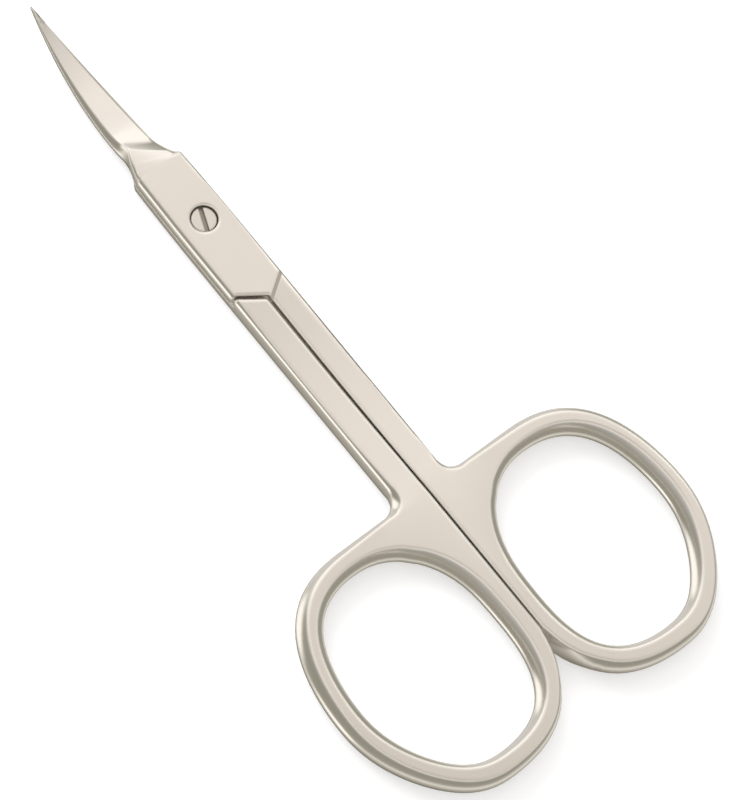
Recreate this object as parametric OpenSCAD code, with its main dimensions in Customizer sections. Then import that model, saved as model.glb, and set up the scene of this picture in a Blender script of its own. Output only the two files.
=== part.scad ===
// Cuticle scissors: two forged halves that lap at a flat joint and turn on one slotted screw.
// +X runs along the tool towards the tip, +Y towards the ring of the lower half, +Z up.
// The shapes are drawn about the pivot, and each piece is then moved so that the origin
// lies under the middle of the closed tool, on the surface it rests on.

/* [Overall] */
// Length from the end of the rings to the tip of the blades
overall_l = 88.9; // [84:0.1:96]
// Distance from the pivot to the tip of the blades
blade_reach = 27.3; // [25:0.1:30]

/* [Finger rings] */
// Length of a ring along the tool, over its ridge
ring_l = 27.4; // [25:0.1:30]
// Width of a ring, from the seam to its outer ridge
ring_w = 21.95; // [20:0.05:25]
// Thickness of a ring
ring_t = 3.4; // [3.1:0.1:4.2]
// Length of the finger hole at the flat faces
hole_l = 23.5; // [20.5:0.1:24.2]
// Width of the finger hole at the flat faces
hole_w = 18.75; // [15:0.05:19.2]
// Width of the flat face between the seam and the finger hole
inner_rim = 1.5; // [1.2:0.05:2.2]
// Width of the flat face at the front of a ring, where the shank joins it
front_rim = 1.45; // [1.1:0.05:2]
// How far the rounded wall swells into the hole at the two ends of the hole
hole_swell_end = 0.72; // [0.3:0.02:0.9]
// How far the rounded wall swells into the hole at its two sides
hole_swell_side = 1.0; // [0.4:0.02:1.1]
// How much further out the hole reaches at its inner rear corner
hole_corner = 0.22; // [0:0.02:0.3]
// How far the outer wall swells past the flat face
ring_swell = 0.5; // [0.2:0.02:0.7]
// How much more it swells at the outer front corner of a ring
ring_round = 0.4; // [0:0.02:0.45]
// Exponent of the oval: 2 is an ellipse and a larger value is squarer
ring_square = 2.25; // [2:0.05:2.5]
// How much squarer the oval is at the seam than at its outer side
ring_lean = 0.2; // [0:0.02:0.3]
// How much the oval is drawn towards the seam at its end
ring_skew = 0.2; // [0:0.02:0.25]

/* [Shanks] */
// Width of the two closed shanks together
shank_w = 5.84; // [5.2:0.02:6.6]
// Thickness left at the middle of a shank by the shallow ground hollow
shank_t = 2.6; // [2.2:0.05:2.9]
// Radius of the inside corner between shank and ring
notch_r = 2.05; // [1.4:0.05:2.6]
// How much more the wall is rounded inside that corner
notch_round = 0.3; // [0:0.02:0.4]
// Width of the rounded edge along shank and joint
edge_w = 0.42; // [0.2:0.02:0.6]
// Gap between the shanks next to the joint
seam_gap = 0.26; // [0.15:0.01:0.4]
// Gap between the rings where they meet when the tool is closed
ring_gap = 0.06; // [0.03:0.01:0.12]

/* [Joint] */
// Thickness of the joint, both plates together
joint_t = 3.1; // [2.8:0.05:3.15]
// Running gap between the two lapped plates
lap_gap = 0.04; // [0.02:0.01:0.08]
// Distance from the pivot to the end of a plate, on the centre line
step_reach = 10.07; // [9.4:0.05:11]
// How much the end of a plate runs back for each millimetre of width
step_lean = 0.66; // [0.5:0.02:0.8]
// Gap between the end of a plate and the shoulder in front of it
step_gap = 0.34; // [0.2:0.02:0.5]
// Distance from the shoulder to the edge of the ground hollow on the other face
step_back = 0.42; // [0.2:0.02:0.8]
// Width of the groove ground along that edge
groove_w = 0.42; // [0.3:0.02:0.6]
// Depth of the groove below the face of the plate
groove_h = 0.08; // [0.04:0.01:0.12]
// How much each side of the joint draws in towards the blades
plate_draw = 0.16; // [0.06:0.02:0.5]

/* [Screw] */
// Diameter of the screw head
head_d = 2.6; // [2.2:0.05:3]
// Height of the straight rim of the head
head_rim = 0.3; // [0.2:0.02:0.4]
// Depth of the head below the face of the plate
head_sink = 0.2; // [0.1:0.02:0.25]
// Gap round the head
head_gap = 0.1; // [0.05:0.01:0.15]
// Diameter of the screw's shank
pin_d = 1.7; // [1.5:0.05:1.9]
// Radial running clearance of the shank in the upper half
pin_gap = 0.04; // [0.02:0.01:0.08]
// Radial clearance of the shank in the tapped hole of the lower half
tap_gap = 0.01; // [0.01:0.01:0.02]
// Width of the slot
slot_w = 0.42; // [0.3:0.02:0.6]
// Depth of the slot
slot_h = 0.34; // [0.2:0.02:0.4]
// Angle of the slot in degrees
slot_turn = -22.5; // [-90:0.5:90]

/* [Blades] */
// Half width of a closed blade at its root, over the inner faces
root_half = 1.93; // [1.7:0.01:2.2]
// Exponent of the taper from root to tip
taper = 1.7; // [1.4:0.05:2.2]
// Half width left at the blunt end of the tip
tip_half = 0.13; // [0.08:0.01:0.2]
// Thickness of the upper blade's back at the root
upper_t = 1.12; // [0.9:0.02:1.3]
// Thickness of the lower blade's back at the root
lower_t = 0.74; // [0.6:0.02:0.8]
// Thickness of a blade's back at the tip
tip_t = 0.5; // [0.35:0.01:0.6]
// Share of the half width by which the back leans inwards
back_lean = 0.27; // [0.15:0.01:0.35]
// How far the back of each blade stands past the other's cutting edge
edge_back = 0.13; // [0.08:0.01:0.2]
// Depth of the blades' lowest point below the lap
bend_drop = 0.98; // [0.6:0.02:0.98]
// Distance from the pivot to that lowest point
bend_low = 14.5; // [13.5:0.1:16]
// Radius of the upward curve of the blades
bend_r = 31; // [28:0.5:60]
// Gap between the two cutting edges where they lie on each other
blade_gap = 0.04; // [0.02:0.01:0.08]
// Depth of the hollow ground into each inner face
hollow = 0.14; // [0.1:0.01:0.2]
// Distance from the pivot to the shoulder on the side of the cutting edge
edge_shoulder = 7.05; // [6.95:0.05:7.6]
// Length over which that shoulder curves into the blade
edge_shoulder_l = 3.3; // [2.4:0.1:3.6]
// Distance from the pivot to the shoulder on the side of the back
back_shoulder = 6.4; // [6:0.05:7.6]
// Length over which that shoulder curves into the blade
back_shoulder_l = 3.1; // [2.4:0.1:3.6]

/* [Hidden] */

steel = [0.83, 0.80, 0.76];
screw_steel = [0.87, 0.86, 0.83];

// Places that follow from the sizes above
pivot_x = overall_l / 2 - blade_reach;
mid_z = ring_t / 2;
joint_top = mid_z + joint_t / 2;
joint_low = mid_z - joint_t / 2;
ring_end = blade_reach - overall_l;
ring_cx = ring_end + ring_l / 2;
ring_front = ring_end + ring_l;
ring_ridge_b = (ring_w + seam_gap / 2) / 2;
ring_cy = ring_w - ring_ridge_b;
hole_front = ring_front - ring_swell - front_rim;
hole_cx = hole_front - hole_l / 2;
hole_cy = ring_gap / 2 + inner_rim + hole_w / 2;
shank_half = shank_w / 2;
head_top = joint_top - head_sink;
head_cone = (head_d - pin_d) / 2;
past = 1;

// Where the plates end and the blades begin
plate_end = 6.9;
draw_start = -4;
crease_x = 8.8;
crease_run = 3.4;
crease_lean = 0.68;
ramp_x = 7.3;
ramp_end = 11;
seam_back = 4.2;
hollow_ahead = 1.5;

// Levels of the rounded walls, from the middle (0) to the flat face (1)
levels = [0, 0.3, 0.55, 0.75, joint_t / ring_t, 0.96, 1];
wall_levels = [for (z = [len(levels) - 1 : -1 : 1]) -levels[z], for (z = levels) z];
edge_power = 5;
ring_power = 2;
sharp_w = 0.06;
root_bury = 0.01;

function mix(a, b, t) = a + (b - a) * t;
function clip(t) = min(1, max(0, t));
function ease(t) = let (c = clip(t)) c * c * (3 - 2 * c);

// An oval whose squareness changes round it
function oval_power(a) = ring_square - ring_lean * sin(a) + ring_skew * sin(2 * a);
function oval(a, ra, rb) =
    let (p = oval_power(a), r = pow(pow(abs(cos(a)), p) + pow(abs(sin(a)), p), -1 / p))
    [ra * r * cos(a), rb * r * sin(a)];
function oval_normal(a, ra, rb) =
    let (d = oval(a + 0.5, ra, rb) - oval(a - 0.5, ra, rb))
    [d.y, -d.x] / norm(d);

// Half width of shank and joint at x, and the face of the seam
function plate_half(x) =
    shank_half - plate_draw * pow(max(0, x - draw_start) / (plate_end - draw_start), 2);
function seam_y(x) = mix(seam_gap, ring_gap, clip((x + step_reach) / (seam_end + step_reach))) / 2;
seam_end = ring_cx - seam_back;

// End of a plate at the distance y from the centre line
function step_x(y) = step_lean * abs(y) - step_reach;

// The outline of one half at the ridge of its wall, anticlockwise from the middle of the notch.
// Each point holds x, y, the outward normal, the width of the rounding there and its power.
function notch_point(t) =
    let (a = mix(270, 180, t))
    [ring_front + notch_r * (1 + cos(a)), shank_half + notch_r * (1 + sin(a)), -cos(a), -sin(a),
     mix(edge_w, ring_swell, t) + notch_round * 4 * t * (1 - t), mix(edge_power, ring_power, min(1, 2 * t))];
function seam_point(x) = [x, seam_y(x), 0, -1, sharp_w, ring_power];
function ring_point(a) =
    let (p = oval(a, ring_l / 2, ring_ridge_b), n = oval_normal(a, ring_l / 2, ring_ridge_b),
         y = ring_cy + p.y, rise = a < 180 ? 1 : ease(y / 2.5))
    [ring_cx + p.x, y, n.x, n.y,
     mix(sharp_w, ring_swell, rise) + ring_round * pow(max(0, cos(a - 45)), 2), ring_power];
notch_mid_x = notch_point(0.5).x;
ring_loop = concat(
    [for (t = [0.5 : 0.125 : 1]) notch_point(t)],
    [for (t = [0.2 : 0.2 : 1])
        [ring_front, mix(shank_half + notch_r, ring_cy, t), 1, 0, ring_swell + ring_round * t / 2, ring_power]],
    [for (a = [4 : 4 : 252]) if (ring_point(a).y > ring_gap / 2 + 0.02) ring_point(a)],
    [for (t = [0 : 1 / 12 : 1]) seam_point(mix(seam_end, notch_mid_x, t))]);

// The two sides of shank and plate, in pairs from the notch to the end of the plate
side_x = concat(
    [for (t = [0.375 : -0.125 : 0]) notch_point(t).x],
    [for (t = [0.125 : 0.125 : 1]) mix(ring_front + notch_r, step_x(0) + step_gap / 2, t)],
    [for (t = [0 : 0.125 : 1]) mix(step_x(shank_half) + step_gap / 2, plate_end, t)]);
right_side = [for (i = [0 : len(side_x) - 1])
    i < 12 ? seam_point(side_x[i]) : [side_x[i], -plate_half(side_x[i]), 0, -1, edge_w, edge_power]];
left_side = [for (i = [0 : len(side_x) - 1])
    i < 4 ? notch_point(0.375 - 0.125 * i) : [side_x[i], plate_half(side_x[i]), 0, 1, edge_w, edge_power]];
half_outline = concat(ring_loop, right_side, [for (i = [len(side_x) - 1 : -1 : 0]) left_side[i]]);

// The finger hole is met by one point for each point of the ring loop
hole_angles = [for (v = ring_loop) atan2((v[1] - hole_cy) / hole_w, (v[0] - hole_cx) / hole_l)];
function hole_point(a, z) =
    let (c = oval(a, hole_l / 2, hole_w / 2), n = oval_normal(a, hole_l / 2, hole_w / 2),
         w = mix(hole_swell_end, hole_swell_side, pow(sin(a), 2)) * (1 - z * z)
             - hole_corner * pow(max(0, cos(a - 225)), 4))
    [hole_cx + c.x - n.x * w, hole_cy + c.y - n.y * w, mid_z * (1 + z)];

// Two triangles across a four-sided patch, given anticlockwise from outside
function patch(a, b, c, d) = [[c, b, a], [d, c, a]];

// One half in plan at full thickness: rounded outer wall, finger hole with swelling wall, flat faces
module blank() {
    n = len(half_outline);
    ring_n = len(ring_loop);
    side_n = len(side_x);
    row = n + ring_n;
    top = (len(wall_levels) - 1) * row;
    left = function (j) j == 0 ? 0 : n - j;
    right = function (j) ring_n - 1 + j;
    polyhedron(
        points = [for (z = wall_levels) each concat(
            [for (v = half_outline)
                let (w = v[4] * pow(abs(z), v[5]))
                [v[0] - v[2] * w, v[1] - v[3] * w, mid_z * (1 + z)]],
            [for (a = hole_angles) hole_point(a, z)])],
        faces = [
            for (k = [0 : len(wall_levels) - 2], i = [0 : n - 1])
                let (a = k * row + i, b = k * row + (i + 1) % n)
                each patch(a, b, b + row, a + row),
            for (k = [0 : len(wall_levels) - 2], i = [0 : ring_n - 1])
                let (a = k * row + n + i, b = k * row + n + (i + 1) % ring_n)
                each patch(b, a, a + row, b + row),
            for (i = [0 : ring_n - 1])
                let (a = i, b = (i + 1) % ring_n)
                each concat(patch(top + a, top + b, top + n + b, top + n + a), patch(b, a, n + a, n + b)),
            for (j = [0 : side_n - 1])
                let (a = right(j), b = right(j + 1), c = left(j + 1), d = left(j))
                each concat(patch(top + a, top + b, top + c, top + d), patch(b, a, d, c))],
        convexity = 8);
}

// A closed solid through loops of equal length, each anticlockwise seen from the last one
module skin(loops) {
    n = len(loops[0]);
    k = len(loops);
    start = [for (i = [0 : 2]) sum_of(loops[0], i) / n];
    finish = [for (i = [0 : 2]) sum_of(loops[k - 1], i) / n];
    polyhedron(
        points = concat([for (loop = loops) each loop], [start, finish]),
        faces = [
            for (i = [0 : n - 1]) [i, (i + 1) % n, k * n],
            for (j = [0 : k - 2], i = [0 : n - 1])
                let (a = j * n + i, b = j * n + (i + 1) % n)
                each patch(a, b, b + n, a + n),
            for (i = [0 : n - 1]) [(k - 1) * n + (i + 1) % n, (k - 1) * n + i, k * n + 1]],
        convexity = 8);
}
function sum_of(loop, i) = [for (p = loop) p[i]] * [for (p = loop) 1];

// The shallow hollow ground across a shank, from the ring to the shoulder
hollow_mid = (ring_front + step_x(shank_half)) / 2 + hollow_ahead;
hollow_depth = (ring_t - shank_t) / 2;
hollow_half = hollow_mid - ring_front + 0.6;
hollow_r = (hollow_half * hollow_half + hollow_depth * hollow_depth) / (2 * hollow_depth);
module ground_hollow(end_shift) {
    intersection() {
        translate([hollow_mid, 0, ring_t - hollow_depth + hollow_r])
            rotate([90, 0, 0])
                cylinder(r = hollow_r, h = 4 * shank_w, center = true, $fn = 256);
        translate([0, 0, mid_z])
            linear_extrude(ring_t)
                polygon([
                    [ring_end, -shank_w],
                    [step_x(shank_w) - end_shift, -shank_w],
                    [step_x(0) - end_shift, 0],
                    [step_x(shank_w) - end_shift, shank_w],
                    [ring_end, shank_w]]);
    }
}

// Everything above the lap on the plate side of the shoulder
module lap_recess() {
    translate([0, 0, mid_z - lap_gap / 2])
        linear_extrude(ring_t)
            polygon([
                [step_x(shank_w) - step_gap / 2, shank_w],
                [step_x(0) - step_gap / 2, 0],
                [step_x(0) - step_gap / 2, -shank_w],
                [plate_end + past, -shank_w],
                [plate_end + past, shank_w]]);
}

// Takes the face of the plate down to the thickness of the joint
module plate_face() {
    translate([0, 0, joint_low - ring_t])
        linear_extrude(ring_t)
            polygon([
                [step_x(shank_w) - step_gap / 2 - step_back, shank_w],
                [step_x(0) - step_gap / 2 - step_back, 0],
                [step_x(shank_w) - step_gap / 2 - step_back, -shank_w],
                [plate_end + past, -shank_w],
                [plate_end + past, shank_w]]);
}

// The groove across the shank where the plate's face meets the hollow
module edge_groove() {
    groove_x = step_gap / 2 + step_back;
    translate([0, 0, joint_low + groove_h - ring_t])
        linear_extrude(ring_t)
            polygon([
                [step_x(0) - groove_x, 0],
                [step_x(0) - groove_x + groove_w, 0],
                [step_x(shank_w) - groove_x + groove_w, shank_w],
                [step_x(shank_w) - groove_x, shank_w]]);
}

// Ring, shank and lower joint plate in one forging
module forging() {
    difference() {
        blank();
        lap_recess();
        plate_face();
        edge_groove();
        ground_hollow(step_gap / 2);
        translate([0, 0, 2 * mid_z])
            rotate([180, 0, 0])
                ground_hollow(step_gap / 2 + step_back);
    }
}

// Height of the inner faces above the lap: level in the joint, a short ramp down, then one arc up
function arc_z(x) = pow(x - bend_low, 2) / (2 * bend_r) - bend_drop;
function arc_slope(x) = (x - bend_low) / bend_r;
function bend_z(x) =
    x < ramp_x ? 0
    : x > ramp_end ? arc_z(x)
    : let (run = ramp_end - ramp_x, t = (x - ramp_x) / run)
        (3 - 2 * t) * t * t * arc_z(ramp_end) + (t - 1) * t * t * run * arc_slope(ramp_end);

// Half width of a blade over its inner face, past the shoulders and then on each side of them
function taper_half(x) =
    mix(root_half, tip_half, pow(clip((x - ramp_end + 0.6) / (blade_reach - ramp_end + 0.6)), taper));
function edge_half(x) =
    mix(plate_half(min(x, plate_end)), taper_half(x),
        1 - pow(1 - clip((x - edge_shoulder) / edge_shoulder_l), 1.7));
function back_half(x) =
    mix(plate_half(min(x, plate_end)), taper_half(x), ease((x - back_shoulder) / back_shoulder_l));

// Shape of the two walls of a blade, as shares of its lean and its thickness, from inner to outer face
edge_in = [0, 0.01, 0.12, 0.27, 0.42];
edge_up = [0, 0.1, 0.28, 0.48, 0.64];
back_in = [0, 0.12, 0.4, 0.75, 1];
back_up = [0, 0.25, 0.6, 0.88, 1];

// One section of a blade at the station s. The upper blade has side 1 and its cutting edge
// towards -Y. The lower blade has side -1 and is its mirror image in plan.
function blade_section(s, side, root_t) =
    let (
        near = edge_half(s),
        far = back_half(s),
        turn = ease((s - plate_end) / (ramp_end - plate_end)),
        fall = clip((s - crease_x) / crease_run),
        thick = mix(root_t, tip_t, clip((s - ramp_end) / (blade_reach - ramp_end))),
        plate_h = joint_t / 2 - blade_gap / 2,
        top = mix(plate_h - bend_z(s) * side, thick, 1 - (1 - fall) * (1 - fall)),
        lean = crease_lean * side * (1 - ease((s - crease_x) / crease_run)) * ease((s - plate_end) / 1.5),
        near_edge = mix(0, edge_back, turn),
        bury = s > plate_end ? 0 : root_bury,
        tall = top - 2 * bury,
        dig = hollow * ease((s - plate_end) / 2) * min(1, near) * clip(blade_reach - s),
        edge_wall = [for (j = [0 : 4])
            let (u = levels[j],
                 in = mix(edge_w * pow(u, edge_power), edge_in[j] * near / root_half, turn) + near_edge + bury,
                 up = tall * mix(u / levels[4], edge_up[j], turn))
            [in - near, up, j / 4]],
        back_wall = [for (j = [4 : -1 : 0])
            let (u = levels[j],
                 in = mix(edge_w * pow(u, edge_power), back_in[j] * back_lean * far, turn) + bury,
                 up = tall * mix(u / levels[4], back_up[j], turn))
            [far - in, up, j / 4]],
        inner_wall = [for (t = [0.2 : 0.2 : 0.8])
            [mix(far - bury, near_edge + bury - near, t), dig * 4 * t * (1 - t), 0]],
        loop = concat(edge_wall, back_wall, inner_wall))
    [for (i = [len(loop) - 1 : -1 : 0])
        let (p = loop[i])
        [s + lean * side * p[0] * p[2], side * p[0],
         mid_z + bend_z(s) + side * (blade_gap / 2 + bury + p[1])]];

blade_stations = concat(
    [for (s = [plate_end - 0.4 : 0.4 : ramp_end]) s],
    [for (t = [0 : 1 / 26 : 1]) mix(ramp_end + 0.3, blade_reach, t)]);

module blade(side, root_t) {
    skin([for (s = blade_stations) blade_section(s, side, root_t)]);
}

// Ring at +Y, lower joint plate tapped for the screw, and lower blade
module lower_half() {
    color(steel)
        translate([pivot_x, 0, 0])
            difference() {
                union() {
                    forging();
                    blade(-1, lower_t);
                }
                translate([0, 0, -past])
                    cylinder(d = pin_d + 2 * tap_gap, h = ring_t + 2 * past, $fn = 96);
            }
}

// Ring at -Y, upper joint plate countersunk for the screw head, and upper blade
module upper_half() {
    color(steel)
        translate([pivot_x, 0, 0])
            difference() {
                union() {
                    translate([0, 0, 2 * mid_z])
                        rotate([180, 0, 0])
                            forging();
                    blade(1, upper_t);
                }
                translate([0, 0, -past])
                    cylinder(d = pin_d + 2 * pin_gap, h = ring_t + 2 * past, $fn = 96);
                translate([0, 0, head_top - head_rim - head_gap / 2])
                    cylinder(d = head_d + 2 * head_gap, h = ring_t, $fn = 96);
                translate([0, 0, head_top - head_rim - head_gap / 2 - head_cone - head_gap + pin_gap])
                    cylinder(d1 = pin_d + 2 * pin_gap, d2 = head_d + 2 * head_gap,
                        h = head_cone + head_gap - pin_gap, $fn = 96);
            }
}

// Slotted countersunk screw, threaded into the lower half and ground flush with it below
module pivot_screw() {
    color(screw_steel)
        translate([pivot_x, 0, 0])
            difference() {
                union() {
                    translate([0, 0, joint_low])
                        cylinder(d = pin_d, h = head_top - joint_low - head_rim / 2, $fn = 96);
                    translate([0, 0, head_top - head_rim - head_cone])
                        cylinder(d1 = pin_d, d2 = head_d, h = head_cone, $fn = 96);
                    translate([0, 0, head_top - head_rim])
                        cylinder(d = head_d, h = head_rim, $fn = 96);
                }
                translate([0, 0, head_top - slot_h + ring_t / 2])
                    rotate([0, 0, slot_turn])
                        cube([2 * head_d, slot_w, ring_t], center = true);
            }
}

lower_half();
upper_half();
pivot_screw();
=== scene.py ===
import math
import bmesh
import bpy
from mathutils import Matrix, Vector


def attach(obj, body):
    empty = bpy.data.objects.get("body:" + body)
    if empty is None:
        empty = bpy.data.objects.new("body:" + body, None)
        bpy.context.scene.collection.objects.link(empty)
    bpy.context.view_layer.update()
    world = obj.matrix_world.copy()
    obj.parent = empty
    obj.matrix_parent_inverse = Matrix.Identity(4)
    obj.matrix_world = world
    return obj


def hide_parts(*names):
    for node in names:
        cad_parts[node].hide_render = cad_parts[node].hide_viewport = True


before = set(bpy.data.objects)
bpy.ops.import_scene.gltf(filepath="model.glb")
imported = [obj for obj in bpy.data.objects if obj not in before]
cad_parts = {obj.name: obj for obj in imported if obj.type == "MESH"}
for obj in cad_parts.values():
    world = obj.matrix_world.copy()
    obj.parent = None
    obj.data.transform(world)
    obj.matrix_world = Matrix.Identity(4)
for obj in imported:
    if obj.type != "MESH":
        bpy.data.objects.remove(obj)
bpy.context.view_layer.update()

# The two halves are drop forged from stainless steel, one with its ring at +Y and one at -Y.
# Their flats are ground and satin finished, and their rounded walls are polished bright. The
# wheel has broken the edges, and rounded over the long outer edge of the upper shank.
MM = 0.001
STEEL = (0.83, 0.80, 0.76)
# Rough steel for the recesses. Its dark colour is painted shade in the groove, the countersink
# and the screw slot.
ROUGH_SHADED_STEEL = (0.50, 0.46, 0.40)
PIVOT_X = 17.15 * MM
MID_Z = 1.7 * MM
HEAD_R = 1.3 * MM
COUNTERSINK_R = HEAD_R + 0.25 * MM
GROOVE_FLOOR = (1.44 * MM, 1.49 * MM)   # its height from the middle of the thickness
JOINT_START = 8.5 * MM
BLADE_START = 26.0 * MM
HALF_EDGE = 0.09 * MM
HALF_EDGE_ANGLE = 28   # degrees
WHEEL_ROLL = 0.5 * MM

EASED_LINE = Vector((0.0, -2.33 * MM, 0.0))   # a point just inside the rounded edge
EASED_ACROSS = Vector((-0.00645, 1.0, 0.0))
EASED_CLEAR = 0.1 * MM
EASED_BACK = -13.0 * MM
EASED_FRONT = 21.0 * MM
EASED_DROP = 0.16 * MM

# How much of a face's normal is upright: 1 is level and 0 is a plain wall.
GROUND_FLAT = 0.99999
LEVEL_AHEAD = 0.9998
LEVEL_BEHIND = 0.975
COUNTERSINK_WALL = 0.97
EASED_TOP = 0.96
BLADE_SIDE = 0.9

SAME_POINT = 0.002 * MM
SAME_FLAT_ANGLE = 0.4   # degrees
CREASE_ANGLE = 50       # degrees
SLIVER_WIDTH = 0.06 * MM
STRONG = 16384   # the Weighted Normal modifier's number for a strong face
BODY, ROUGH_SHADED, BLADE = 0, 1, 2   # places of the three materials in a piece


def broken_edges(bm, width, least_angle):
    """Rounds every edge sharper than the least angle, as a polishing wheel leaves it."""
    sharp = [e for e in bm.edges
             if len(e.link_faces) == 2 and e.calc_face_angle(0.0) > math.radians(least_angle)]
    bmesh.ops.bevel(bm, geom=sharp, offset=width, offset_type="WIDTH", affect="EDGES",
                    segments=1, profile=0.5, material=-1, clamp_overlap=True)


def eased_edge(bm):
    """Lowers the outer top edge of the shank and joint plate, which the wheel rounded over."""
    everything = list(bm.verts) + list(bm.edges) + list(bm.faces)
    bmesh.ops.bisect_plane(bm, geom=everything, dist=0.0001 * MM,
                           plane_co=EASED_LINE, plane_no=EASED_ACROSS)
    bm.normal_update()
    for vert in bm.verts:
        outside = (vert.co - EASED_LINE).dot(EASED_ACROSS) < -EASED_CLEAR
        on_top = vert.co.z > MID_Z and any(f.normal.z > EASED_TOP for f in vert.link_faces)
        if outside and on_top and EASED_BACK < vert.co.x < EASED_FRONT:
            vert.co.z -= EASED_DROP


def shade_as_ground(bm):
    """Lets level faces set the shading of their corners, and slivers between faces the least."""
    strength = bm.faces.layers.int.new("__mod_weightednormals_faceweight")
    for face in bm.faces:
        sliver = face.calc_area() < SLIVER_WIDTH * max(e.calc_length() for e in face.edges)
        behind_joint = face.calc_center_median().x < JOINT_START
        level = abs(face.normal.z) > (LEVEL_BEHIND if behind_joint else LEVEL_AHEAD)
        face[strength] = STRONG if level else -STRONG if sliver else 0
        face.smooth = True


def polished_piece(name, node, edge, least_angle, body, rough_shaded, blade, is_rough_shaded):
    """A merged copy of a solid, with flat faces joined, edges broken and smooth walls."""
    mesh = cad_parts[node].data.copy()
    mesh.name = name
    mesh.materials.clear()
    if "custom_normal" in mesh.attributes:
        mesh.attributes.remove(mesh.attributes["custom_normal"])
    piece = bpy.data.objects.new(name, mesh)
    bpy.context.scene.collection.objects.link(piece)
    bm = bmesh.new()
    bm.from_mesh(mesh)
    bmesh.ops.remove_doubles(bm, verts=bm.verts, dist=SAME_POINT)
    bmesh.ops.dissolve_limit(bm, angle_limit=math.radians(SAME_FLAT_ANGLE),
                             verts=bm.verts, edges=bm.edges)
    for face in bm.faces:
        ahead = face.calc_center_median().x > BLADE_START
        on_blade = ahead and abs(face.normal.z) > BLADE_SIDE
        # Recess faces get the rough steel, whose dark colour is painted shade.
        face.material_index = ROUGH_SHADED if is_rough_shaded(face) else BLADE if on_blade else BODY
    if node == "upper_half":
        eased_edge(bm)
    bm.normal_update()
    broken_edges(bm, edge, least_angle)
    bmesh.ops.triangulate(bm, faces=[f for f in bm.faces if len(f.verts) > 4])
    shade_as_ground(bm)
    bm.to_mesh(mesh)
    bm.free()
    mesh.set_sharp_from_angle(angle=math.radians(CREASE_ANGLE))
    for finish in (body, rough_shaded, blade):
        mesh.materials.append(finish)
    weighted = piece.modifiers.new("weighted", "WEIGHTED_NORMAL")
    weighted.mode = "CORNER_ANGLE"
    weighted.keep_sharp = True
    weighted.use_face_influence = True
    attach(piece, "upper" if node == "upper_half" else "lower")
    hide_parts(node)


def steel_finish(name, colour, least_rough, most_rough, grain_depth, grain_scale, roll=0.0):
    """Polished steel with fine grinding grain, and its edges rolled where the wheel went over."""
    mat = bpy.data.materials.new(name)
    mat.use_nodes = True
    tree = mat.node_tree
    link = tree.links.new
    shader = tree.nodes["Principled BSDF"]
    shader.inputs["Metallic"].default_value = 1.0
    shader.inputs["Base Color"].default_value = (*colour, 1.0)
    place = tree.nodes.new("ShaderNodeTexCoord").outputs["Object"]
    cloud = tree.nodes.new("ShaderNodeTexNoise")
    cloud.inputs["Scale"].default_value = 90.0
    cloud.inputs["Detail"].default_value = 4.0
    link(place, cloud.inputs["Vector"])
    rough = tree.nodes.new("ShaderNodeMapRange")
    rough.inputs["From Min"].default_value = 0.3
    rough.inputs["From Max"].default_value = 0.7
    rough.inputs["To Min"].default_value = least_rough
    rough.inputs["To Max"].default_value = most_rough
    link(cloud.outputs["Fac"], rough.inputs["Value"])
    link(rough.outputs["Result"], shader.inputs["Roughness"])
    speck = tree.nodes.new("ShaderNodeTexNoise")
    speck.inputs["Scale"].default_value = grain_scale
    speck.inputs["Detail"].default_value = 3.0
    link(place, speck.inputs["Vector"])
    relief = tree.nodes.new("ShaderNodeBump")
    relief.inputs["Strength"].default_value = 1.0
    relief.inputs["Distance"].default_value = grain_depth
    link(speck.outputs["Fac"], relief.inputs["Height"])
    if roll:
        rolled = tree.nodes.new("ShaderNodeBevel")
        rolled.samples = 8
        rolled.inputs["Radius"].default_value = roll
        link(rolled.outputs["Normal"], relief.inputs["Normal"])
    link(relief.outputs["Normal"], shader.inputs["Normal"])
    return mat


def rough_shaded_in_half(face):
    """The floor of the groove at the shoulder and the countersink round the screw head, which get
    the darker steel: rough, and dark as painted shade.
    """
    centre = face.calc_center_median()
    reach = math.hypot(centre.x - PIVOT_X, centre.y)
    at_groove = GROOVE_FLOOR[0] < abs(centre.z - MID_Z) < GROOVE_FLOOR[1]
    groove = abs(face.normal.z) > GROUND_FLAT and at_groove
    return groove or (reach < COUNTERSINK_R and abs(face.normal.z) < COUNTERSINK_WALL)


half_steel = steel_finish("forged steel", STEEL, least_rough=0.17, most_rough=0.23,
                          grain_depth=0.0000012, grain_scale=2600.0, roll=WHEEL_ROLL)
# Without the roll, because the blade is too thin for it at the cutting edge.
blade_steel = steel_finish("blade steel", STEEL, least_rough=0.17, most_rough=0.23,
                           grain_depth=0.0000012, grain_scale=2600.0)
# The recesses' rough steel. Its roughness is the cut finish, and its dark colour is painted
# shade.
rough_shaded_steel = steel_finish("rough steel with painted shade", ROUGH_SHADED_STEEL, least_rough=0.42, most_rough=0.55,
                          grain_depth=0.00002, grain_scale=9000.0)
polished_piece("lower_half_polished", "lower_half", HALF_EDGE, HALF_EDGE_ANGLE,
               half_steel, rough_shaded_steel, blade_steel, rough_shaded_in_half)
polished_piece("upper_half_polished", "upper_half", HALF_EDGE, HALF_EDGE_ANGLE,
               half_steel, rough_shaded_steel, blade_steel, rough_shaded_in_half)

# The screw is turned from bar, slotted with a saw and polished on its head.
# It is threaded into the lower half, so it rides with it.
SCREW_STEEL = (0.80, 0.77, 0.72)
SCREW_EDGE = 0.03 * MM
SCREW_EDGE_ANGLE = 40   # degrees
SCREW_ROLL = 0.3 * MM
SLOT_FLOOR = 2.71 * MM
SLOT_FLOOR_WITHIN = 0.01 * MM
SLOT_REACH = HEAD_R - 0.05 * MM
SLOT_WALL = 0.5   # how upright a wall's normal may be


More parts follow.
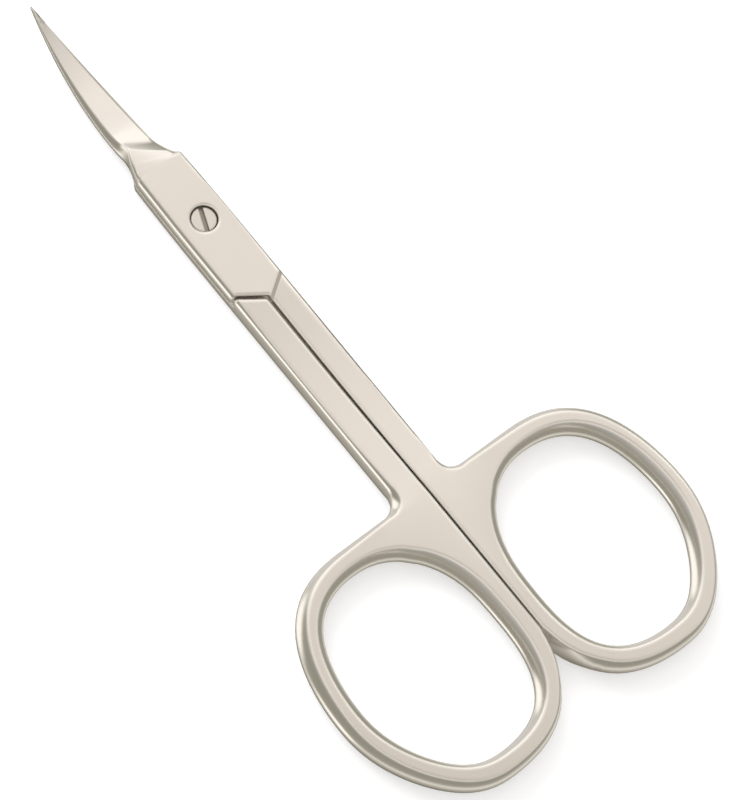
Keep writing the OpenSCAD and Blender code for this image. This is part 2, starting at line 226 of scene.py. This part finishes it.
def rough_shaded_in_screw(face):
    """The floor and the two sides of the slot cut by the saw, which get the darker steel: rough,
    and dark as painted shade.
    """
    centre = face.calc_center_median()
    reach = math.hypot(centre.x - PIVOT_X, centre.y)
    floor_of_slot = abs(centre.z - SLOT_FLOOR) < SLOT_FLOOR_WITHIN
    wall_of_slot = centre.z > SLOT_FLOOR and abs(face.normal.z) < SLOT_WALL
    return reach < SLOT_REACH and (floor_of_slot or wall_of_slot)


screw_steel = steel_finish("screw steel", SCREW_STEEL, least_rough=0.20, most_rough=0.34,
                           grain_depth=0.000008, grain_scale=1800.0, roll=SCREW_ROLL)
polished_piece("pivot_screw_polished", "pivot_screw", SCREW_EDGE, SCREW_EDGE_ANGLE,
               screw_steel, rough_shaded_steel, screw_steel, rough_shaded_in_screw)

# The scissors lie on a plain white surface, which isn't part of them. It is a hair below
# their undersides, and it glows a little, so that it stays white around the soft shadows.
SURFACE_SIZE = 1.5
SURFACE_DROP = 0.02 * MM

floor_mesh = bpy.data.meshes.new("floor")
bm = bmesh.new()
bmesh.ops.create_grid(bm, x_segments=1, y_segments=1, size=SURFACE_SIZE)
bmesh.ops.translate(bm, verts=bm.verts, vec=(0.0, 0.0, -SURFACE_DROP))
bm.to_mesh(floor_mesh)
bm.free()
floor = bpy.data.objects.new("floor", floor_mesh)
bpy.context.scene.collection.objects.link(floor)
white = bpy.data.materials.new("white surface")
white.use_nodes = True
paper = white.node_tree.nodes["Principled BSDF"].inputs
paper["Base Color"].default_value = (0.83, 0.86, 0.90, 1.0)
paper["Roughness"].default_value = 0.9
paper["Emission Color"].default_value = (1.0, 1.0, 1.0, 1.0)
paper["Emission Strength"].default_value = 0.39
floor_mesh.materials.append(white)
floor.visible_glossy = False

# The light is a soft box beyond the tip, which throws the soft shadows, and a pale room. The
# steel doesn't reflect the box, only the room.
key_data = bpy.data.lights.new("key", "AREA")
key_data.shape = "RECTANGLE"
key_data.size, key_data.size_y = 0.72, 0.62
key_data.energy = 4.6
key = bpy.data.objects.new("key", key_data)
key.location = (0.66, -0.02, 0.42)
key.visible_glossy = False
key.rotation_euler = (-Vector(key.location)).to_track_quat("-Z", "Y").to_euler()
bpy.context.scene.collection.objects.link(key)

# The room's shades from straight down (0) to straight up (1), and over them bright and dim
# patches, each with its direction, the cosines where it starts and is full, and its colour.
SHADES = ((0.0, (0.22, 0.21, 0.17)), (0.015, (0.30, 0.28, 0.24)), (0.045, (0.44, 0.41, 0.36)),
          (0.085, (0.58, 0.55, 0.49)), (0.125, (0.86, 0.84, 0.77)), (0.155, (0.88, 0.86, 0.80)),
          (0.195, (0.52, 0.50, 0.43)), (0.235, (0.36, 0.35, 0.29)), (0.50, (0.33, 0.32, 0.27)),
          (0.60, (0.38, 0.375, 0.34)), (0.72, (0.56, 0.55, 0.52)), (0.86, (0.80, 0.76, 0.72)),
          (0.95, (0.995, 0.935, 0.88)), (1.0, (1.03, 0.97, 0.92)))
LOW_BEYOND_TIP = ((0.795, 0.40, -0.455), 0.90, 0.975, (1.25, 1.22, 1.15))
RIGHT_EDGE_LINE = ((0.162, -0.728, 0.665), 0.985, 0.998, (1.7, 1.66, 1.58))
LEFT_WALL_LINE = ((0.16, 0.68, -0.72), 0.975, 0.996, (1.5, 1.47, 1.38))
WIDE_BEYOND_TIP = ((0.86, -0.362, 0.36), 0.60, 0.93, (1.24, 1.21, 1.16))
GREY_BEYOND_TIP = ((0.80, -0.362, -0.42), 0.86, 0.97, (0.72, 0.70, 0.67))
DIM_OVER_RINGS = ((-0.12, -0.12, 0.97), 0.928, 0.956, (0.57, 0.53, 0.47))
# A Mix node has its colours in these sockets, and its share in socket 0.
MIX_UNDER, MIX_OVER, MIX_RESULT = 6, 7, 2

world = bpy.data.worlds.new("studio")
world.use_nodes = True
bpy.context.scene.world = world
tree = world.node_tree
place = tree.nodes.new("ShaderNodeTexCoord")
axes = tree.nodes.new("ShaderNodeSeparateXYZ")
tree.links.new(place.outputs["Generated"], axes.inputs["Vector"])
height = tree.nodes.new("ShaderNodeMapRange")
height.inputs["From Min"].default_value = -1.0
height.inputs["From Max"].default_value = 1.0
tree.links.new(axes.outputs["Z"], height.inputs["Value"])
ramp = tree.nodes.new("ShaderNodeValToRGB")
tree.links.new(height.outputs["Result"], ramp.inputs["Fac"])
elements = ramp.color_ramp.elements
elements[0].color = (*SHADES[0][1], 1.0)
elements[1].color = (*SHADES[-1][1], 1.0)
for position, colour in SHADES[1:-1]:
    elements.new(position).color = (*colour, 1.0)
light = ramp.outputs["Color"]
for direction, starts, full, colour in (LOW_BEYOND_TIP, RIGHT_EDGE_LINE, LEFT_WALL_LINE,
                                        WIDE_BEYOND_TIP, GREY_BEYOND_TIP, DIM_OVER_RINGS):
    toward = tree.nodes.new("ShaderNodeVectorMath")
    toward.operation = "DOT_PRODUCT"
    toward.inputs[1].default_value = Vector(direction).normalized()
    tree.links.new(place.outputs["Generated"], toward.inputs[0])
    share = tree.nodes.new("ShaderNodeMapRange")
    share.interpolation_type = "SMOOTHSTEP"
    share.inputs["From Min"].default_value = starts
    share.inputs["From Max"].default_value = full
    tree.links.new(toward.outputs["Value"], share.inputs["Value"])
    blend = tree.nodes.new("ShaderNodeMix")
    blend.data_type = "RGBA"
    blend.inputs[MIX_OVER].default_value = (*colour, 1.0)
    tree.links.new(share.outputs["Result"], blend.inputs[0])
    tree.links.new(light, blend.inputs[MIX_UNDER])
    light = blend.outputs[MIX_RESULT]
sky = tree.nodes["Background"]
tree.links.new(light, sky.inputs["Color"])
sky.inputs["Strength"].default_value = 1.0

# The camera stands where the photograph was taken from, high over the rings, with a long
# lens. Its place was fitted to the outline of the scissors in the photograph.
camera_data = bpy.data.cameras.new("camera")
camera_data.sensor_fit = "VERTICAL"
camera_data.sensor_height = 36.0
camera_data.lens = 287.05
camera_data.clip_start = 0.01
camera = bpy.data.objects.new("camera", camera_data)
camera.location = (-0.10746, 0.22229, 0.57049)
camera.rotation_euler = [math.radians(a) for a in (20.871, -10.802, -129.719)]
bpy.context.scene.collection.objects.link(camera)
bpy.context.scene.camera = camera
bpy.context.scene.view_settings.view_transform = "Standard"
